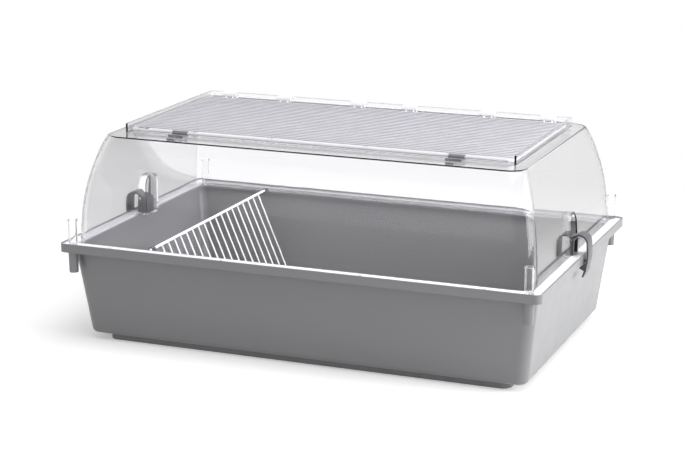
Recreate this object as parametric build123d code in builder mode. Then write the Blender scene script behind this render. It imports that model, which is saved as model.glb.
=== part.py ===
# Rodent cage: moulded tub, clear dome cover with a wire roof door, end latches and a wire divider.
# Millimetres. +Z is up, the front is -Y, the long side runs along X.
# The origin is the middle of the foot's underside.
import math
import os

from build123d import *

os.makedirs("parts", exist_ok=True)

# overall sizes
rim_length = 715.0
rim_width = 460.0
rim_top = 150.0
rim_corner_radius = 9.0
skirt_height = 12.5
skirt_wall = 2.0
bead_width = 2.0
ledge_drop = 5.0
ledge_thickness = 3.0

# tub
wall_inset_x = 11.5
wall_inset_y = 18.0
wall_draft = 0.125
wall_thickness = 3.0
wall_corner_radius = 15.0
tub_bottom = 10.0
tub_bottom_fillet = 8.0
lip_inset = 5.0
foot_inset_x = 25.0
foot_inset_y = 12.0
foot_corner_radius = 13.0
floor_thickness = 2.5

# clearances between pieces
part_gap = 0.3
running_gap = 0.1
seat_gap = 0.03
flange_gap = 0.6

# dome cover
cover_inset_x = 16.5
cover_inset_y = 17.0
cover_wall = 2.5
cover_corner_radius = 24.0
cover_rise = 150.0
cover_top_inset_x = 28.0
cover_top_inset_y = 40.0
flange_thickness = 3.0
roof_edge_fillet = 3.0

# roof opening, curb and hinge
opening_inset_x = 61.0
opening_inset_front = 86.0
opening_inset_back = 84.0
opening_radius = 10.0
curb_gap = 2.0
curb_width = 3.0
curb_run_past = 5.0
ridge_gap = 5.0
ridge_width = 8.0
curb_height = 13.0
hinge_radius = 1.5
hinge_height = 6.5
knuckle_positions = (-258.0, -165.0, -42.0, 42.0, 165.0, 258.0)
notch_width = 25.0
knuckle_length = 21.0
knuckle_radius = 4.0
arm_radius = 1.4
arm_gap = 0.5

# roof door
door_lap_x = 6.0
door_lap_front = 6.0
door_lap_back = 7.0
door_lift = 2.1
door_wire = 2.0
door_corner = 8.0
long_wire = 1.0
long_wire_count = 25
cross_wire = 1.5
cross_positions = (-193.0, -72.0, 72.0, 193.0)
weld_depth = 0.25

# clips on the front wire of the door
clip_x = 208.0
clip_width = 23.0
clip_wall = 1.5
clip_reach = 17.0
clip_thickness = 2.2
clip_lift = 0.7
catch_inset = 10.0
catch_length = 12.0
catch_depth = 6.0
catch_height = 2.5

# corner posts of the cover and their sleeves in the tub
post_inset_x = 18.5
post_inset_y = 9.5
post_radius = 6.5
post_bore = 4.8
post_height = 35.0
post_ring = 0.9
post_ring_height = 2.0
spigot_radius = 5.2
spigot_bore = 3.6
spigot_depth = 20.0
sleeve_top_radius = 7.4
sleeve_foot_radius = 6.6
sleeve_reach = 30.0

# end latches
recess_gap = 12.0
recess_half_y = 17.0
recess_rise = 55.0
recess_radius = 14.0
latch_pin_inset = 19.5
latch_pin_rise = 20.0
latch_pin_radius = 2.0
latch_hub_radius = 4.2
latch_hub_half = 8.6
latch_half = 11.5
latch_strip = 2.6
bracket_half = 12.5
bracket_rise = 3.0
bracket_gap = 3.0
bracket_plate = 3.0
bracket_ear = 3.2
hook_reach = 5.5
hook_drop = 5.9
hook_slope = 0.8

# divider
divider_x = -223.0
divider_rod = 2.0
divider_rest = 1.6
divider_wire = 1.2
divider_wire_count = 18
divider_pitch = 20.0
divider_foot_x = -168.0
divider_foot_z = 17.0
divider_cap_radius = 4.0
divider_cap_length = 8.0

# worked out from the sizes above
rim_half_x = rim_length / 2
rim_half_y = rim_width / 2
skirt_bottom = rim_top - skirt_height
wall_half_x = rim_half_x - wall_inset_x
wall_half_y = rim_half_y - wall_inset_y
lip_half_x = wall_half_x - wall_thickness - lip_inset
lip_half_y = wall_half_y - wall_thickness - lip_inset
cover_half_x = rim_half_x - cover_inset_x
cover_half_y = rim_half_y - cover_inset_y
cover_top = rim_top + cover_rise
post_x = rim_half_x - post_inset_x
post_y = rim_half_y - post_inset_y
sleeve_foot_z = skirt_bottom - sleeve_reach
latch_pin_x = rim_half_x - latch_pin_inset
latch_pin_z = rim_top + latch_pin_rise
recess_x = latch_pin_x - recess_gap
recess_top = rim_top + recess_rise
bracket_plate_x = recess_x + bracket_gap
hook_tip_x = rim_half_x - hook_reach
hook_tip_z = skirt_bottom - hook_drop
opening_half_x = cover_half_x - opening_inset_x
opening_front = -cover_half_y + opening_inset_front
opening_back = cover_half_y - opening_inset_back
door_half_x = opening_half_x + door_lap_x
door_front = opening_front - door_lap_front
door_back = opening_back + door_lap_back
curb_inner_x = door_half_x + door_wire + curb_gap
curb_front = door_front - curb_run_past
ridge_front = door_back + door_wire + ridge_gap
hinge_y = ridge_front + ridge_width / 2
ledge_top = rim_top - ledge_drop
flange_bottom = ledge_top + part_gap
flange_top = flange_bottom + flange_thickness
flange_half_x = rim_half_x - bead_width - flange_gap
flange_half_y = rim_half_y - bead_width - flange_gap
wall_run = (skirt_bottom - tub_bottom) * wall_draft
tub_foot_x = wall_half_x - wall_run
tub_foot_y = wall_half_y - wall_run
foot_half_x = tub_foot_x - foot_inset_x
foot_half_y = tub_foot_y - foot_inset_y
ledge_bottom = ledge_top - ledge_thickness
roof_under = cover_top - cover_wall
door_z = cover_top + door_lift + door_wire
long_wire_z = door_z + door_wire + long_wire
cross_wire_z = long_wire_z - long_wire - cross_wire + weld_depth
hinge_z = cover_top + hinge_height
catch_y = cover_half_y - cover_top_inset_y - catch_inset


def rounded_slab(half_x, half_y, radius, low, high):
    """Give a block with rounded upright corners, centred on the upright axis."""
    with BuildPart() as block:
        with BuildSketch(Plane.XY.offset(low)):
            RectangleRounded(2 * half_x, 2 * half_y, radius)
        extrude(amount=high - low)
    return block.part


def tapered_block(foot_x, foot_y, head_x, head_y, radius, low, high):
    """Give a block whose four sides lean evenly from the foot size to the head size."""
    with BuildPart() as block:
        with BuildSketch(Plane.XY.offset(low)):
            RectangleRounded(2 * foot_x, 2 * foot_y, radius)
        with BuildSketch(Plane.XY.offset(high)):
            RectangleRounded(2 * head_x, 2 * head_y, radius)
        loft()
    return block.part


def rod_between(start, end, radius):
    """Give a straight round wire from one point to the other."""
    way = Vector(*end) - Vector(*start)
    with BuildPart() as wire:
        with BuildSketch(Plane(origin=start, z_dir=way)):
            Circle(radius)
        extrude(amount=way.length)
    return wire.part


def dome_block(inset, low, roof_z):
    """Give the dome's block: a loft through rounded oblongs that draw in towards the roof."""
    levels = (0.0, 0.16, 0.38, 0.58, 0.76, 0.9, 1.0)
    shares = (0.0, 0.03, 0.12, 0.29, 0.53, 0.77, 1.0)
    with BuildPart() as block:
        for level, share in zip(levels, shares):
            with BuildSketch(Plane.XY.offset(low + level * (roof_z - low))):
                RectangleRounded(
                    2 * (cover_half_x - inset - share * cover_top_inset_x),
                    2 * (cover_half_y - inset - share * cover_top_inset_y),
                    cover_corner_radius - inset,
                )
        loft()
    return block.part


# tub: drafted walls with a rounded lower edge, a set-in foot and a hollow that follows both
tub_head_x = wall_half_x + (ledge_bottom - skirt_bottom) * wall_draft
tub_head_y = wall_half_y + (ledge_bottom - skirt_bottom) * wall_draft
with BuildPart() as tub_hollow:
    add(
        tapered_block(
            tub_foot_x - wall_thickness,
            tub_foot_y - wall_thickness,
            tub_head_x - wall_thickness,
            tub_head_y - wall_thickness,
            wall_corner_radius - wall_thickness,
            tub_bottom + floor_thickness,
            ledge_bottom,
        )
    )
    fillet(tub_hollow.edges().group_by(Axis.Z)[0], radius=tub_bottom_fillet - floor_thickness)
    add(
        rounded_slab(
            foot_half_x - wall_thickness,
            foot_half_y - wall_thickness,
            foot_corner_radius - wall_thickness,
            floor_thickness,
            tub_bottom + floor_thickness + 1.0,
        )
    )
with BuildPart() as tub:
    add(
        tapered_block(
            tub_foot_x, tub_foot_y, tub_head_x, tub_head_y, wall_corner_radius, tub_bottom, ledge_bottom
        )
    )
    fillet(tub.edges().group_by(Axis.Z)[0], radius=tub_bottom_fillet)
    add(rounded_slab(foot_half_x, foot_half_y, foot_corner_radius, 0.0, tub_bottom + 1.0))
    add(tub_hollow.part, mode=Mode.SUBTRACT)
tub.part.label = "tub"
export_step(tub.part, "parts/tub.step")

# rim: skirt, raised bead, ledge with its lip, and the four tapered sleeves
post_spots = ((post_x, post_y), (-post_x, post_y), (post_x, -post_y), (-post_x, -post_y))
with BuildPart() as tub_rim:
    add(rounded_slab(rim_half_x, rim_half_y, rim_corner_radius, skirt_bottom, rim_top))
    add(
        rounded_slab(
            rim_half_x - bead_width,
            rim_half_y - bead_width,
            rim_corner_radius - bead_width,
            ledge_top,
            rim_top + 1.0,
        ),
        mode=Mode.SUBTRACT,
    )
    add(
        rounded_slab(
            rim_half_x - skirt_wall,
            rim_half_y - skirt_wall,
            rim_corner_radius - skirt_wall,
            skirt_bottom - 1.0,
            ledge_bottom,
        ),
        mode=Mode.SUBTRACT,
    )
    for spot in post_spots:
        with Locations((spot[0], spot[1], (sleeve_foot_z + ledge_bottom + 1.0) / 2)):
            Cone(sleeve_foot_radius, sleeve_top_radius, ledge_bottom + 1.0 - sleeve_foot_z)
    add(
        rounded_slab(
            lip_half_x,
            lip_half_y,
            wall_corner_radius - wall_thickness,
            ledge_bottom - 1.0,
            rim_top + 1.0,
        ),
        mode=Mode.SUBTRACT,
    )
    for spot in post_spots:
        with Locations((spot[0], spot[1], (sleeve_foot_z + rim_top) / 2)):
            Cylinder(spigot_radius + part_gap, rim_top - sleeve_foot_z + 2.0, mode=Mode.SUBTRACT)
tub_rim.part.label = "tub_rim"
export_step(tub_rim.part, "parts/tub_rim.step")

# clear dome cover: shell, flange, end recesses, roof opening, curb and ridge
with BuildPart() as recess_blocks:
    with Locations(
        (recess_x + 50.0, 0, (flange_top + recess_top) / 2),
        (-recess_x - 50.0, 0, (flange_top + recess_top) / 2),
    ):
        Box(100.0, 2 * recess_half_y, recess_top - flange_top)
    fillet(recess_blocks.edges().filter_by(Axis.X).group_by(Axis.Z)[-1], radius=recess_radius)
liner_low = flange_bottom - 5.0
liner_high = recess_top + cover_wall
with BuildPart() as recess_liners:
    with Locations(
        (recess_x + 50.0 - cover_wall / 2, 0, (liner_low + liner_high) / 2),
        (-recess_x - 50.0 + cover_wall / 2, 0, (liner_low + liner_high) / 2),
    ):
        Box(100.0 + cover_wall, 2 * (recess_half_y + cover_wall), liner_high - liner_low)
    fillet(
        recess_liners.edges().filter_by(Axis.X).group_by(Axis.Z)[-1],
        radius=recess_radius + cover_wall,
    )
with BuildPart() as cover_hollow:
    add(dome_block(cover_wall, flange_bottom - 1.0, roof_under))
    add(recess_liners.part, mode=Mode.SUBTRACT)

with BuildPart() as cover:
    add(dome_block(0.0, flange_bottom, cover_top))
    fillet(cover.edges().group_by(Axis.Z)[-1], radius=roof_edge_fillet)
    add(recess_blocks.part, mode=Mode.SUBTRACT)
    add(rounded_slab(flange_half_x, flange_half_y, rim_corner_radius - bead_width, flange_bottom, flange_top))
    add(cover_hollow.part, mode=Mode.SUBTRACT)
    with BuildSketch(Plane.XY.offset(roof_under - 1.0)):
        with Locations((0, (opening_front + opening_back) / 2)):
            RectangleRounded(2 * opening_half_x, opening_back - opening_front, opening_radius)
    extrude(amount=cover_wall + 2.0, mode=Mode.SUBTRACT)
    ridge_back = ridge_front + ridge_width
    curb_mid = cover_top + curb_height / 2 - 0.5
    with Locations((0, ridge_front + ridge_width / 2, curb_mid)):
        Box(2 * (curb_inner_x + curb_width), ridge_width, curb_height + 1.0)
    for side in (-1, 1):
        with Locations((side * (curb_inner_x + curb_width / 2), (curb_front + ridge_back) / 2, curb_mid)):
            Box(curb_width, ridge_back - curb_front, curb_height + 1.0)
    for place in knuckle_positions:
        with Locations((place, ridge_front + ridge_width / 2, cover_top + curb_height / 2 + 0.5)):
            Box(notch_width, ridge_width + 2.0, curb_height + 1.0, mode=Mode.SUBTRACT)
    with Locations((0, hinge_y, hinge_z)):
        Cylinder(
            hinge_radius + running_gap,
            2 * curb_inner_x,
            rotation=(0, 90, 0),
            mode=Mode.SUBTRACT,
        )
    with Locations(
        (post_x, post_y, flange_bottom),
        (-post_x, post_y, flange_bottom),
        (post_x, -post_y, flange_bottom),
        (-post_x, -post_y, flange_bottom),
    ):
        Cylinder(spigot_radius + seat_gap, 4 * flange_thickness, mode=Mode.SUBTRACT)
cover.part.label = "dome_cover"
export_step(cover.part, "parts/dome_cover.step")

# corner posts: clear tubes on the flange with spigots that drop into the tub's sleeves
post_places = {
    "front_left": (-post_x, -post_y),
    "front_right": (post_x, -post_y),
    "back_left": (-post_x, post_y),
    "back_right": (post_x, post_y),
}
post_top = rim_top + post_height
spigot_low = flange_bottom - spigot_depth
for place, spot in post_places.items():
    with BuildPart() as post:
        with Locations((spot[0], spot[1], (flange_top + post_top) / 2)):
            Cylinder(post_radius, post_top - flange_top)
        with Locations((spot[0], spot[1], post_top - post_ring_height / 2)):
            Cylinder(post_radius + post_ring, post_ring_height)
        with Locations((spot[0], spot[1], (spigot_low + flange_top) / 2)):
            Cylinder(spigot_radius, flange_top - spigot_low)
        with Locations((spot[0], spot[1], (flange_top + 3.0 + post_top + 1.0) / 2)):
            Cylinder(post_bore, post_top + 1.0 - flange_top - 3.0, mode=Mode.SUBTRACT)
        with Locations((spot[0], spot[1], (spigot_low + flange_top) / 2)):
            Cylinder(spigot_bore, flange_top - spigot_low + 10.0, mode=Mode.SUBTRACT)
    post.part.label = "corner_post_" + place
    export_step(post.part, "parts/corner_post_" + place + ".step")

# latch brackets, pins and levers; the left end is the right end turned half round
strip_path = (
    (latch_pin_x + 6.5, latch_pin_z + 6.0),
    (latch_pin_x + 15.0, latch_pin_z + 7.6),
    (latch_pin_x + 22.0, latch_pin_z + 3.0),
    (latch_pin_x + 24.6, latch_pin_z - 8.0),
    (latch_pin_x + 24.8, latch_pin_z - 26.0),
    (latch_pin_x + 23.2, latch_pin_z - 37.0),
    (latch_pin_x + 18.6, latch_pin_z - 52.0),
)


def shifted_path(points, amount):
    """Give the points of a path moved sideways by the amount, square to the path at each point."""
    moved = []
    for count, point in enumerate(points):
        before = points[max(count - 1, 0)]
        after = points[min(count + 1, len(points) - 1)]
        run = (after[0] - before[0], after[1] - before[1])
        size = math.hypot(run[0], run[1])
        moved.append((point[0] - amount * run[1] / size, point[1] + amount * run[0] / size))
    return moved


def turned(shape, side):
    """Give the shape as it is for the right end, or turned half round for the left end."""
    return shape if side > 0 else shape.rotate(Axis.Z, 180)


for side, end in ((1, "right"), (-1, "left")):
    with BuildPart() as bracket:
        with BuildSketch(Plane.YZ.offset(bracket_plate_x)):
            with Locations((0, (flange_top + latch_pin_z + bracket_rise) / 2)):
                Rectangle(2 * bracket_half, latch_pin_z + bracket_rise - flange_top)
        extrude(amount=bracket_plate)
        fillet(bracket.edges().filter_by(Axis.X).group_by(Axis.Z)[-1], radius=5.0)
        for ear in (-1, 1):
            with BuildSketch(Plane.XZ.offset(-ear * (bracket_half - bracket_ear / 2) - bracket_ear / 2)):
                with BuildLine():
                    Polyline(
                        (bracket_plate_x + 1.0, flange_top),
                        (latch_pin_x + 5.0, flange_top),
                        (latch_pin_x + 5.0, latch_pin_z),
                        (latch_pin_x, latch_pin_z + 5.0),
                        (latch_pin_x - 5.0, latch_pin_z + 4.0),
                        (bracket_plate_x + 1.0, latch_pin_z - 2.0),
                        close=True,
                    )
                make_face()
            extrude(amount=bracket_ear)
        with Locations((latch_pin_x, 0, latch_pin_z)):
            Cylinder(
                latch_pin_radius + seat_gap,
                4 * bracket_half,
                rotation=(90, 0, 0),
                mode=Mode.SUBTRACT,
            )
    bracket_part = turned(bracket.part, side)
    bracket_part.label = "latch_bracket_" + end
    export_step(bracket_part, "parts/latch_bracket_" + end + ".step")

    with BuildPart() as pin:
        with Locations((latch_pin_x, 0, latch_pin_z)):
            Cylinder(latch_pin_radius, 2 * bracket_half + 1.0, rotation=(90, 0, 0))
    pin_part = turned(pin.part, side)
    pin_part.label = "latch_pin_" + end
    export_step(pin_part, "parts/latch_pin_" + end + ".step")

    with BuildPart() as lever:
        with BuildSketch(Plane.XZ.offset(-latch_half)):
            with BuildLine():
                upper = Spline(*shifted_path(strip_path, latch_strip / 2))
                lower = Spline(*shifted_path(strip_path, -latch_strip / 2))
                Line(upper @ 0, lower @ 0)
                Line(upper @ 1, lower @ 1)
            make_face()
        extrude(amount=2 * latch_half)
        with BuildSketch(Plane.XZ.offset(-latch_half)):
            with BuildLine():
                Polyline(
                    (hook_tip_x, hook_tip_z - 1.2),
                    (hook_tip_x, hook_tip_z),
                    (hook_tip_x + 8.5, hook_tip_z + 8.5 * hook_slope),
                    (hook_tip_x + 10.4, hook_tip_z + 4.0),
                    (hook_tip_x + 9.4, hook_tip_z - 6.0),
                    close=True,
                )
            make_face()
        extrude(amount=2 * latch_half)
        with BuildSketch(Plane.XZ.offset(-latch_hub_half)):
            with BuildLine():
                Polyline(
                    (latch_pin_x - 1.0, latch_pin_z + 4.0),
                    (latch_pin_x + 7.0, latch_pin_z + 7.6),
                    (latch_pin_x + 8.5, latch_pin_z + 5.6),
                    (latch_pin_x + 4.0, latch_pin_z + 1.0),
                    close=True,
                )
            make_face()
        extrude(amount=2 * latch_hub_half)
        with Locations((latch_pin_x, 0, latch_pin_z)):
            Cylinder(latch_hub_radius, 2 * latch_hub_half, rotation=(90, 0, 0))
            Cylinder(
                latch_pin_radius + running_gap,
                4 * latch_hub_half,
                rotation=(90, 0, 0),
                mode=Mode.SUBTRACT,
            )
    lever_part = turned(lever.part, side)
    lever_part.label = "latch_lever_" + end
    export_step(lever_part, "parts/latch_lever_" + end + ".step")

# roof door: bent outline wire, welded grille, hinge rod, arms with knuckles
with BuildSketch(Plane.XY.offset(door_z)) as frame_outline:
    with Locations((0, (door_front + door_back) / 2)):
        RectangleRounded(2 * door_half_x, door_back - door_front, door_corner)
frame_path = frame_outline.sketch.faces()[0].outer_wire()
with BuildPart() as door_frame:
    with BuildSketch(Plane(origin=frame_path @ 0, z_dir=frame_path % 0)):
        Circle(door_wire)
    sweep(path=frame_path)
door_frame.part.label = "door_frame_wire"
export_step(door_frame.part, "parts/door_frame_wire.step")

wire_step = (door_back - door_front) / (long_wire_count + 1)
with BuildPart() as door_grille:
    with Locations(
        [(0, door_front + wire_step * (count + 1), long_wire_z) for count in range(long_wire_count)]
    ):
        Cylinder(long_wire, 2 * (door_half_x + 1.0), rotation=(0, 90, 0))
    with Locations([(place, (door_front + door_back) / 2, cross_wire_z) for place in cross_positions]):
        Cylinder(
            cross_wire,
            door_back - door_front - 2 * door_wire,
            rotation=(90, 0, 0),
        )
door_grille.part.label = "door_grille"
export_step(door_grille.part, "parts/door_grille.step")

with BuildPart() as hinge_rod:
    with Locations((0, hinge_y, hinge_z)):
        Cylinder(hinge_radius, 2 * (curb_inner_x - part_gap), rotation=(0, 90, 0))
hinge_rod.part.label = "hinge_rod"
export_step(hinge_rod.part, "parts/hinge_rod.step")

for count, place in enumerate(knuckle_positions):
    with BuildPart() as knuckle:
        with Locations((place, hinge_y, hinge_z)):
            Cylinder(knuckle_radius, knuckle_length, rotation=(0, 90, 0))
        for offset_x in (-6.0, 6.0):
            add(
                rod_between(
                    (place + offset_x, door_back + door_wire + arm_gap, door_z),
                    (place + offset_x, hinge_y, hinge_z),
                    arm_radius,
                )
            )
        with Locations((place, hinge_y, hinge_z)):
            Cylinder(
                hinge_radius + seat_gap,
                2 * knuckle_length,
                rotation=(0, 90, 0),
                mode=Mode.SUBTRACT,
            )
    knuckle.part.label = "hinge_knuckle_" + str(count + 1)
    export_step(knuckle.part, "parts/hinge_knuckle_" + str(count + 1) + ".step")

# clips on the front wire and their catches on the roof edge
for side, end in ((-1, "left"), (1, "right")):
    with BuildPart() as clip:
        with Locations((side * clip_x, door_front, door_z)):
            Cylinder(
                door_wire + running_gap + clip_wall,
                clip_width,
                rotation=(0, 90, 0),
            )
        tongue_low = cover_top + clip_lift
        with Locations(
            (side * clip_x, door_front - clip_reach / 2, tongue_low + clip_thickness / 2)
        ):
            Box(clip_width, clip_reach, clip_thickness)
        with Locations((side * clip_x, door_front - clip_reach + 1.5, tongue_low + clip_thickness + 0.6)):
            Box(clip_width, 3.0, 1.6)
        with Locations((side * clip_x, door_front, door_z)):
            Cylinder(
                door_wire + running_gap,
                2 * clip_width,
                rotation=(0, 90, 0),
                mode=Mode.SUBTRACT,
            )
    clip.part.label = "roof_clip_" + end
    export_step(clip.part, "parts/roof_clip_" + end + ".step")

    with BuildPart() as catch:
        with Locations((side * clip_x, -catch_y, cover_top + catch_height / 2)):
            Box(catch_length, catch_depth, catch_height)
        fillet(catch.edges().group_by(Axis.Z)[-1], radius=1.0)
    catch.part.label = "roof_catch_" + end
    export_step(catch.part, "parts/roof_catch_" + end + ".step")

# divider: rods, leaning wires and dark end caps, resting on the tub's lip
rod_z = ledge_top + part_gap + divider_rod
with BuildPart() as divider_top:
    with Locations((divider_x, 0, rod_z)):
        Cylinder(divider_rod, 2 * (lip_half_y + divider_rest), rotation=(90, 0, 0))
divider_top.part.label = "divider_top_rod"
export_step(divider_top.part, "parts/divider_top_rod.step")

wire_half = divider_pitch * (divider_wire_count - 1) / 2
lean = math.atan2(divider_foot_x - divider_x, rod_z - divider_foot_z)
with BuildPart() as divider_grid:
    with Locations((divider_foot_x, 0, divider_foot_z)):
        Cylinder(divider_rod, 2 * (wire_half + 8.0), rotation=(90, 0, 0))
    for count in range(divider_wire_count):
        wire_y = count * divider_pitch - wire_half
        add(
            rod_between(
                (divider_foot_x, wire_y, divider_foot_z),
                (
                    divider_x + divider_rod * math.sin(lean),
                    wire_y,
                    rod_z - divider_rod * math.cos(lean),
                ),
                divider_wire,
            )
        )
divider_grid.part.label = "divider_wires"
export_step(divider_grid.part, "parts/divider_wires.step")

cap_middle = lip_half_y - 0.6 - divider_cap_length / 2
for side, end in ((-1, "front"), (1, "back")):
    with BuildPart() as cap:
        with Locations((divider_x, side * cap_middle, rod_z)):
            Cylinder(divider_cap_radius, divider_cap_length, rotation=(90, 0, 0))
            Cylinder(
                divider_rod + seat_gap,
                2 * divider_cap_length,
                rotation=(90, 0, 0),
                mode=Mode.SUBTRACT,
            )
    cap.part.label = "divider_cap_" + end
    export_step(cap.part, "parts/divider_cap_" + end + ".step")
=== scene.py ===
import math

import bpy
import numpy as np
from mathutils import Matrix, Vector


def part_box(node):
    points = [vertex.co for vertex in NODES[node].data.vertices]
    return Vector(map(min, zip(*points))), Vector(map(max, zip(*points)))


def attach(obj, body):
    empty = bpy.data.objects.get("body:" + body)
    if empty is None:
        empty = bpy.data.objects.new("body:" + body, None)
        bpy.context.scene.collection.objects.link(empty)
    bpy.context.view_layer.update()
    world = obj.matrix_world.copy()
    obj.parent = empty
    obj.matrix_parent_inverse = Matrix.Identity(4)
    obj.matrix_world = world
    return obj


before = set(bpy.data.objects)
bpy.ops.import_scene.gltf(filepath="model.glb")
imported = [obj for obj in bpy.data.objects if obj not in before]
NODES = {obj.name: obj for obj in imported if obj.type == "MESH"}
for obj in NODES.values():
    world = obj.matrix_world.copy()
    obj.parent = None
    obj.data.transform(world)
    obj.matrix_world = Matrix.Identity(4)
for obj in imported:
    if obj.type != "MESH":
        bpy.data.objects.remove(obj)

bl_info = {
    "name": "Rodent cage",
    "version": (1, 0, 0),
    "blender": (4, 5, 0),
    "location": "View3D > Sidebar > Rodent cage",
    "description": "Dresses a grey tub with a clear dome cover, wire roof door, latches and divider",
    "category": "Object",
}

MM = 0.001
FLANGE_THICKNESS = 3.0 * MM
# Painted highlight on the dome's flange: below this top the flange is painted white, at these strengths
# along the front, the sides and the back.
PAINTED_HIGHLIGHT_TOP = 148.4 * MM
PAINTED_HIGHLIGHT_FADE = 0.8 * MM
PAINTED_HIGHLIGHT_FRONT = 0.97
PAINTED_HIGHLIGHT_SIDES = 0.8
PAINTED_HIGHLIGHT_BACK = 0.2
WALL_ALONG = (210.5 * MM, 212.5 * MM)
WALL_ACROSS = (339.0 * MM, 342.0 * MM)
PIP_ACROSS = tuple(place * MM for place in (-280.0, -105.0, 102.0, 278.0))
PIP_ALONG = -220.5 * MM
PIP_RADIUS = 2.4 * MM
PIP_HEIGHT = 1.2 * MM
PIP_COLOUR = (0.55, 0.54, 0.57)
PIN_COLOUR = (0.55, 0.55, 0.56)
FLOOR_REACH = 12.0
FLOOR_COLOUR = (0.84, 0.84, 0.84)
FLOOR_GLOW = (0.32, 0.32, 0.32)
WHITE = (1.0, 1.0, 1.0)
WORLD_LEVEL = 0.35
# name, place, point it faces, width and height, power
LAMPS = (
    ("key_above", (0.4, -0.3, 2.2), (0.0, 0.0, 0.1), (2.4, 2.0), 38.0),
    ("side_right", (2.3, 0.1, 0.8), (0.2, 0.0, 0.15), (1.8, 1.4), 62.0),
    ("fill_front", (-1.2, -2.4, 1.2), (0.0, 0.0, 0.15), (2.0, 1.4), 9.0),
)
CAMERA_TURN = 21.48436
CAMERA_RISE = 14.54968
CAMERA_ROLL = 0.157
CAMERA_LENS = 101.391
CAMERA_AIM = (0.383, -30.306, 150.0)
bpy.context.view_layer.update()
POSTS = ("front_left", "front_right", "back_left", "back_right")


class Value:
    """A socket that adds Math nodes when it is used in an expression."""

    def __init__(self, tree, source):
        self.tree = tree
        self.source = source

    def _math(self, operation, *inputs):
        return self.tree.make("ShaderNodeMath", {"operation": operation}, dict(enumerate(inputs)))

    def __add__(self, other):
        return self._math("ADD", self, other)

    def __radd__(self, other):
        return self._math("ADD", other, self)

    def __mul__(self, other):
        return self._math("MULTIPLY", self, other)

    def __rmul__(self, other):
        return self._math("MULTIPLY", other, self)

    def smaller(self, other):
        return self._math("MINIMUM", self, other)

    def larger(self, other):
        return self._math("MAXIMUM", self, other)

    def size(self):
        return self._math("ABSOLUTE", self)


class Finish:
    """A material whose nodes are made by one method."""

    def __init__(self, name):
        self.material = bpy.data.materials.new(name)
        self.material.use_nodes = True
        self.nodes = self.material.node_tree.nodes
        self.links = self.material.node_tree.links
        self.nodes.clear()
        self.output = self.nodes.new("ShaderNodeOutputMaterial")

    def make(self, kind, settings=None, inputs=None, output=0):
        """Adds a node of that kind, sets its settings first, then its sockets, and gives one output."""
        node = self.nodes.new(kind)
        for key, setting in (settings or {}).items():
            setattr(node, key, setting)
        for key, given in (inputs or {}).items():
            socket = node.inputs[key]
            if isinstance(given, Value):
                self.links.new(given.source, socket)
            elif hasattr(socket, "default_value"):
                if socket.type == "RGBA" and len(given) == 3:
                    given = (*given, 1.0)
                socket.default_value = given
        return Value(self, node.outputs[output])

    def place(self):
        """Object coordinates of the shaded point, in metres."""
        return self.make("ShaderNodeTexCoord", output="Object")

    def axes(self, vector):
        """The three numbers of a vector."""
        node = self.make("ShaderNodeSeparateXYZ", inputs={0: vector}).source.node
        return [Value(self, socket) for socket in node.outputs]

    def noise(self, vector, scale, detail=3.0, roughness=0.5):
        """Noise of about the given count of lumps in a metre."""
        return self.make(
            "ShaderNodeTexNoise",
            inputs={"Vector": vector, "Scale": scale, "Detail": detail, "Roughness": roughness},
            output=0,
        )

    def steps(self, value, low, high, start=0.0, end=1.0):
        """A smooth climb from start at low to end at high."""
        return self.make(
            "ShaderNodeMapRange",
            {"interpolation_type": "SMOOTHSTEP", "clamp": True},
            {"Value": value, "From Min": low, "From Max": high, "To Min": start, "To Max": end},
        )

    def mix(self, factor, first, second):
        """A blend of two colours."""
        node = self.nodes.new("ShaderNodeMix")
        node.data_type = "RGBA"
        for key, given in ((0, factor), (6, first), (7, second)):
            if isinstance(given, Value):
                self.links.new(given.source, node.inputs[key])
            elif key == 0:
                node.inputs[key].default_value = given
            else:
                node.inputs[key].default_value = (*given, 1.0)
        return Value(self, node.outputs[2])

    def bump(self, height, strength, distance):
        """A normal tilted by a height in metres."""
        return self.make(
            "ShaderNodeBump",
            inputs={"Height": height, "Strength": strength, "Distance": distance},
        )

    def surface(self, **sockets):
        """The main shader, its sockets named with underscores for spaces."""
        return self.make(
            "ShaderNodeBsdfPrincipled",
            inputs={key.replace("_", " "): given for key, given in sockets.items()},
        )

    def finish(self, shader):
        self.links.new(shader.source, self.output.inputs["Surface"])
        return self.material


def tub_plastic(colour, roughness):
    """Moulded grey plastic: a barely seen cloud of tone and slow changes of gloss."""
    fin = Finish("tub_plastic")
    place = fin.place()
    cloud = fin.noise(place, 5.0, 2.0, 0.5)
    scuff = fin.noise(place, 30.0, 3.0, 0.5)
    tone = fin.mix(cloud, [c * 0.98 for c in colour], [c * 1.02 for c in colour])
    rough = fin.steps(scuff, 0.3, 0.75, roughness - 0.02, roughness + 0.03)
    return fin.finish(
        fin.surface(
            Base_Color=tone,
            Roughness=rough,
            IOR=1.5,
            Normal=fin.bump(scuff, 0.04, 0.0004),
        )
    )


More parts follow.
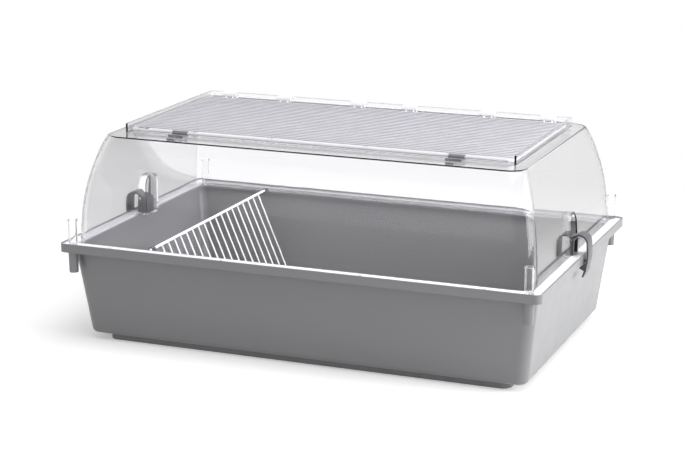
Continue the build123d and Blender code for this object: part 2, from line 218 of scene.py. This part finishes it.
def clear_plastic(name, tint, flange_top, flange_colour):
    """Clear moulded plastic that lets shadow rays by, with the flange below a height painted white as a
    painted highlight.
    """
    fin = Finish(name)
    place = fin.place()
    glass = fin.surface(
        Base_Color=tint,
        Roughness=0.02,
        IOR=1.18,
        Transmission_Weight=1.0,
    )
    through = fin.make("ShaderNodeBsdfTransparent", inputs={"Color": tint})
    shadow_ray = fin.make("ShaderNodeLightPath", output="Is Shadow Ray")
    shine = fin.make("ShaderNodeBsdfGlossy", inputs={"Roughness": 0.08})
    facing = fin.make("ShaderNodeFresnel", inputs={"IOR": 1.35})
    bright = fin.make("ShaderNodeMixShader", inputs={0: facing * 0.45, 1: glass, 2: shine})
    clear = fin.make("ShaderNodeMixShader", inputs={0: shadow_ray, 1: bright, 2: through})
    if flange_top is None:
        return fin.finish(clear)
    across, along, height = fin.axes(place)
    # Painted highlight: below the flange top the clear plastic is painted white, strongest along the
    # front, weaker at the sides and faint at the back.
    painted_highlight = fin.surface(Base_Color=flange_colour, Roughness=0.25, IOR=1.5)
    low = fin.steps(height, flange_top, flange_top + PAINTED_HIGHLIGHT_FADE, 1.0, 0.0)
    front = fin.steps(along, -WALL_ALONG[1], -WALL_ALONG[0], PAINTED_HIGHLIGHT_FRONT, 0.0)
    sides = fin.steps(across.size(), *WALL_ACROSS, 0.0, PAINTED_HIGHLIGHT_SIDES)
    back = fin.steps(along, *WALL_ALONG, 0.0, PAINTED_HIGHLIGHT_BACK)
    highlight_mask = low * front.larger(sides).larger(back)
    return fin.finish(fin.make("ShaderNodeMixShader", inputs={0: highlight_mask, 1: clear, 2: painted_highlight}))


def moulded_plastic(name, colour, roughness):
    """Plain moulded plastic with a light cloud of tone and a fine bump."""
    fin = Finish(name)
    place = fin.place()
    cloud = fin.noise(place, 120.0, 3.0)
    tone = fin.mix(cloud, [c * 0.88 for c in colour], [min(c * 1.12, 1.0) for c in colour])
    rough = fin.steps(cloud, 0.3, 0.7, roughness - 0.05, roughness + 0.07)
    fine = fin.noise(place, 1500.0, 2.0)
    return fin.finish(
        fin.surface(Base_Color=tone, Roughness=rough, Normal=fin.bump(fine, 0.15, 0.0002))
    )


def coated_wire(name, colour, roughness):
    """Wire with a thin plastic coat: slow changes of tone and little sags in the coat."""
    fin = Finish(name)
    place = fin.place()
    cloud = fin.noise(place, 40.0, 3.0)
    sag = fin.noise(place, 350.0, 2.0)
    tone = fin.mix(cloud, [c * 0.92 for c in colour], [min(c * 1.08, 1.0) for c in colour])
    return fin.finish(
        fin.surface(
            Base_Color=tone,
            Roughness=roughness,
            Coat_Weight=0.4,
            Normal=fin.bump(sag, 0.2, 0.0003),
        )
    )


def plain_steel(colour):
    """Drawn steel with fine lines round the pin."""
    fin = Finish("pin_steel")
    place = fin.place()
    lines = fin.noise(place, 2500.0, 2.0)
    rough = fin.steps(lines, 0.3, 0.7, 0.25, 0.42)
    return fin.finish(
        fin.surface(
            Base_Color=colour, Metallic=1.0, Roughness=rough, Normal=fin.bump(lines, 0.1, 0.0001)
        )
    )


def dress(node_names, material):
    """Gives CAD nodes a finish, in their own material slots."""
    for name in node_names:
        slots = NODES[name].material_slots
        if not slots:
            NODES[name].data.materials.append(material)
        for slot in slots:
            slot.material = material


class CageSettings(bpy.types.PropertyGroup):
    """Sizes and colours of the cage that a user would change."""

    tub_colour: bpy.props.FloatVectorProperty(
        name="Tub colour",
        description="Colour of the moulded tub",
        subtype="COLOR",
        default=(0.2, 0.2, 0.207),
        min=0.0,
        max=1.0,
    )
    tub_roughness: bpy.props.FloatProperty(
        name="Tub roughness",
        description="How dull the tub's plastic is",
        subtype="FACTOR",
        default=0.3,
        min=0.05,
        max=1.0,
    )
    clear_tint: bpy.props.FloatVectorProperty(
        name="Clear tint",
        description="Tint of the clear dome and corner posts",
        subtype="COLOR",
        default=(0.982, 0.978, 0.988),
        min=0.0,
        max=1.0,
    )
    # Colour of the painted highlight on the dome's flange.
    flange_colour: bpy.props.FloatVectorProperty(
        name="Flange colour",
        description="Colour of the dome's flange, where the clear plastic looks white",
        subtype="COLOR",
        default=(0.93, 0.92, 0.95),
        min=0.0,
        max=1.0,
    )
    latch_colour: bpy.props.FloatVectorProperty(
        name="Latch colour",
        description="Colour of latches, brackets and end caps",
        subtype="COLOR",
        default=(0.07, 0.067, 0.075),
        min=0.0,
        max=1.0,
    )
    clip_colour: bpy.props.FloatVectorProperty(
        name="Clip colour",
        description="Colour of the roof door's clips and their catches",
        subtype="COLOR",
        default=(0.2, 0.195, 0.215),
        min=0.0,
        max=1.0,
    )
    knuckle_colour: bpy.props.FloatVectorProperty(
        name="Knuckle colour",
        description="Colour of the hinge knuckles",
        subtype="COLOR",
        default=(0.7, 0.69, 0.73),
        min=0.0,
        max=1.0,
    )
    grille_colour: bpy.props.FloatVectorProperty(
        name="Grille colour",
        description="Colour of the roof door's wires",
        subtype="COLOR",
        default=(0.62, 0.61, 0.66),
        min=0.0,
        max=1.0,
    )
    divider_colour: bpy.props.FloatVectorProperty(
        name="Divider colour",
        description="Colour of the divider's coated wires",
        subtype="COLOR",
        default=(0.85, 0.85, 0.85),
        min=0.0,
        max=1.0,
    )
    camera_distance: bpy.props.FloatProperty(
        name="Camera distance",
        description="Distance from the camera to the point it looks at",
        subtype="DISTANCE",
        unit="LENGTH",
        default=2.8136,
        min=0.5,
    )


class CAGE_OT_tub(bpy.types.Operator):
    """Gives the tub and its rim their moulded plastic"""

    bl_idname = "cage.tub"
    bl_label = "Tub"

    def execute(self, context):
        given = context.scene.cage
        dress(["tub", "tub_rim"], tub_plastic(given.tub_colour[:], given.tub_roughness))
        return {"FINISHED"}


class CAGE_OT_cover(bpy.types.Operator):
    """Gives the dome cover and corner posts their clear plastic"""

    bl_idname = "cage.cover"
    bl_label = "Dome cover and corner posts"

    def execute(self, context):
        given = context.scene.cage
        dress(
            ["dome_cover"],
            clear_plastic("dome_plastic", given.clear_tint[:], PAINTED_HIGHLIGHT_TOP, given.flange_colour[:]),
        )
        dress(
            ["corner_post_" + place for place in POSTS],
            clear_plastic("post_plastic", given.clear_tint[:], None, None),
        )
        return {"FINISHED"}


def pip_surface(name, middle, radius, height, rings=5, turns=20):
    """A low round pip: out from the middle the height falls as height * sqrt(1 - (r / radius) ** 2)."""
    angles = np.linspace(0.0, 2.0 * np.pi, turns, endpoint=False)
    shares = np.sin(np.linspace(0.0, np.pi / 2.0, rings + 1))[1:]
    points = [(middle[0], middle[1], middle[2] + height)]
    for share in shares:
        rise = height * math.sqrt(max(1.0 - share * share, 0.0))
        for angle in angles:
            points.append(
                (
                    middle[0] + radius * share * math.cos(angle),
                    middle[1] + radius * share * math.sin(angle),
                    middle[2] + rise,
                )
            )
    points.append(tuple(middle))
    faces = [(0, 1 + k, 1 + (k + 1) % turns) for k in range(turns)]
    for ring in range(rings - 1):
        inner, outer = 1 + ring * turns, 1 + (ring + 1) * turns
        for k in range(turns):
            after = (k + 1) % turns
            faces.append((inner + k, outer + k, outer + after, inner + after))
    last, under = 1 + (rings - 1) * turns, len(points) - 1
    faces += [(last + (k + 1) % turns, last + k, under) for k in range(turns)]
    mesh = bpy.data.meshes.new(name)
    mesh.from_pydata(points, [], faces)
    mesh.shade_smooth()
    obj = bpy.data.objects.new(name, mesh)
    bpy.context.scene.collection.objects.link(obj)
    return obj


class CAGE_OT_pips(bpy.types.Operator):
    """Makes the four low pips along the front of the cover's flange"""

    bl_idname = "cage.pips"
    bl_label = "Flange pips"

    def execute(self, context):
        white = moulded_plastic("pip_plastic", PIP_COLOUR, 0.3)
        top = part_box("dome_cover")[0][2] + FLANGE_THICKNESS
        for count, across in enumerate(PIP_ACROSS, 1):
            middle = (across, PIP_ALONG, top)
            pip = pip_surface("flange_pip_" + str(count), middle, PIP_RADIUS, PIP_HEIGHT)
            pip.data.materials.append(white)
            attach(pip, "cover")
        return {"FINISHED"}


class CAGE_OT_latches(bpy.types.Operator):
    """Gives the latches, clips, catches and end caps their dark plastic and the pins their steel"""

    bl_idname = "cage.latches"
    bl_label = "Latches and clips"

    def execute(self, context):
        given = context.scene.cage
        dark = moulded_plastic("latch_plastic", given.latch_colour[:], 0.35)
        smoky = moulded_plastic("clip_plastic", given.clip_colour[:], 0.3)
        names = ["divider_cap_front", "divider_cap_back"]
        for end in ("left", "right"):
            names += [piece + end for piece in ("latch_bracket_", "latch_lever_")]
            dress(["roof_catch_" + end, "roof_clip_" + end], smoky)
        dress(names, dark)
        dress(["latch_pin_left", "latch_pin_right"], plain_steel(PIN_COLOUR))
        return {"FINISHED"}


class CAGE_OT_door(bpy.types.Operator):
    """Gives the roof door its coated wire and the knuckles their pale plastic"""

    bl_idname = "cage.door"
    bl_label = "Roof door"

    def execute(self, context):
        given = context.scene.cage
        wire = coated_wire("roof_wire", given.grille_colour[:], 0.35)
        dress(["door_frame_wire", "door_grille", "hinge_rod"], wire)
        pale = moulded_plastic("knuckle_plastic", given.knuckle_colour[:], 0.4)
        dress(["hinge_knuckle_" + str(count) for count in range(1, 7)], pale)
        return {"FINISHED"}


class CAGE_OT_divider(bpy.types.Operator):
    """Gives the divider its white coated wire"""

    bl_idname = "cage.divider"
    bl_label = "Divider"

    def execute(self, context):
        given = context.scene.cage
        wire = coated_wire("divider_wire", given.divider_colour[:], 0.3)
        dress(["divider_top_rod", "divider_wires"], wire)
        return {"FINISHED"}


def plane_mesh(name, low, high, height):
    """A flat oblong at one height, facing up."""
    mesh = bpy.data.meshes.new(name)
    corners = [
        (low[0], low[1], height),
        (high[0], low[1], height),
        (high[0], high[1], height),
        (low[0], high[1], height),
    ]
    mesh.from_pydata(corners, [], [(0, 1, 2, 3)])
    obj = bpy.data.objects.new(name, mesh)
    bpy.context.scene.collection.objects.link(obj)
    return obj


def soft_lamp(name, place, aim, size, power):
    """An oblong area lamp at a place, turned to a point."""
    lamp = bpy.data.lights.new(name, "AREA")
    lamp.shape = "RECTANGLE"
    lamp.size, lamp.size_y = size
    lamp.energy = power
    obj = bpy.data.objects.new(name, lamp)
    obj.location = place
    obj.rotation_mode = "QUATERNION"
    obj.rotation_quaternion = (Vector(aim) - Vector(place)).to_track_quat("-Z", "Y")
    bpy.context.scene.collection.objects.link(obj)


class CAGE_OT_stage(bpy.types.Operator):
    """Makes the floor, the light, the world and the camera"""

    bl_idname = "cage.stage"
    bl_label = "Stage"

    def execute(self, context):
        scene = context.scene
        floor = plane_mesh("floor", (-FLOOR_REACH, -FLOOR_REACH), (FLOOR_REACH, FLOOR_REACH), 0.0)
        fin = Finish("floor_white")
        rays = fin.make("ShaderNodeLightPath").source.node
        seen = Value(fin, rays.outputs["Is Camera Ray"])
        seen = seen.larger(Value(fin, rays.outputs["Is Glossy Ray"]))
        seen = seen.larger(Value(fin, rays.outputs["Is Transmission Ray"]))
        across, along = fin.axes(fin.place())[:2]
        reach = (across * across + along * along * 1.6).smaller(9.0)
        far = fin.steps(reach, 0.25, 2.2)
        diffuse = fin.make("ShaderNodeBsdfDiffuse", inputs={"Color": FLOOR_COLOUR})
        lit = fin.make("ShaderNodeEmission", inputs={"Color": FLOOR_GLOW})
        near = fin.make("ShaderNodeAddShader", inputs={0: diffuse, 1: lit})
        white = fin.make("ShaderNodeEmission", inputs={"Color": WHITE})
        shown = fin.make("ShaderNodeMixShader", inputs={0: far, 1: near, 2: white})
        both = fin.make("ShaderNodeMixShader", inputs={0: seen, 1: diffuse, 2: shown})
        floor.data.materials.append(fin.finish(both))

        world = bpy.data.worlds.new("studio")
        scene.world = world
        world.use_nodes = True
        nodes, links = world.node_tree.nodes, world.node_tree.links
        nodes.clear()
        output = nodes.new("ShaderNodeOutputWorld")
        path = nodes.new("ShaderNodeLightPath")
        level = nodes.new("ShaderNodeMath")
        level.operation = "MAXIMUM"
        links.new(path.outputs["Is Camera Ray"], level.inputs[0])
        links.new(path.outputs["Is Transmission Ray"], level.inputs[1])
        more = nodes.new("ShaderNodeMath")
        more.operation = "MAXIMUM"
        links.new(level.outputs[0], more.inputs[0])
        links.new(path.outputs["Is Glossy Ray"], more.inputs[1])
        scaled = nodes.new("ShaderNodeMath")
        scaled.operation = "MULTIPLY_ADD"
        links.new(more.outputs[0], scaled.inputs[0])
        scaled.inputs[1].default_value = 1.0 - WORLD_LEVEL
        scaled.inputs[2].default_value = WORLD_LEVEL
        back = nodes.new("ShaderNodeBackground")
        back.inputs["Color"].default_value = (*WHITE, 1.0)
        links.new(scaled.outputs[0], back.inputs["Strength"])
        links.new(back.outputs[0], output.inputs["Surface"])

        for lamp in LAMPS:
            soft_lamp(*lamp)

        az, el, roll = (math.radians(a) for a in (CAMERA_TURN, CAMERA_RISE, CAMERA_ROLL))
        back_way = Vector(
            (math.sin(az) * math.cos(el), -math.cos(az) * math.cos(el), math.sin(el))
        )
        target = Vector(CAMERA_AIM) * MM
        camera = bpy.data.cameras.new("camera")
        camera.sensor_width = 36.0
        camera.lens = CAMERA_LENS
        camera.clip_end = 60.0
        holder = bpy.data.objects.new("camera", camera)
        holder.location = target + back_way * context.scene.cage.camera_distance
        holder.rotation_mode = "QUATERNION"
        look = (-back_way).to_track_quat("-Z", "Y")
        holder.rotation_quaternion = look @ Matrix.Rotation(roll, 3, "Z").to_quaternion()
        scene.collection.objects.link(holder)
        scene.camera = holder
        scene.view_settings.view_transform = "Standard"
        return {"FINISHED"}


class CAGE_PT_panel(bpy.types.Panel):
    """Lists the cage's pieces and settings"""

    bl_idname = "CAGE_PT_panel"
    bl_label = "Rodent cage"
    bl_space_type = "VIEW_3D"
    bl_region_type = "UI"
    bl_category = "Rodent cage"

    def draw(self, context):
        for name in CageSettings.__annotations__:
            self.layout.prop(context.scene.cage, name)
        for operator in OPERATORS:
            self.layout.operator(operator.bl_idname)


OPERATORS = (
    CAGE_OT_tub,
    CAGE_OT_cover,
    CAGE_OT_pips,
    CAGE_OT_latches,
    CAGE_OT_door,
    CAGE_OT_divider,
    CAGE_OT_stage,
)
CLASSES = (CageSettings, *OPERATORS, CAGE_PT_panel)


def register():
    """Registers the classes and the settings."""
    for cls in CLASSES:
        bpy.utils.register_class(cls)
    bpy.types.Scene.cage = bpy.props.PointerProperty(type=CageSettings)


def unregister():
    """Takes the classes and the settings away."""
    del bpy.types.Scene.cage
    for cls in reversed(CLASSES):
        bpy.utils.unregister_class(cls)


def main():
    """Makes the whole scene."""
    register()
    for operator in OPERATORS:
        group, name = operator.bl_idname.split(".")
        getattr(getattr(bpy.ops, group), name)()


if __name__ == "__main__":
    main()
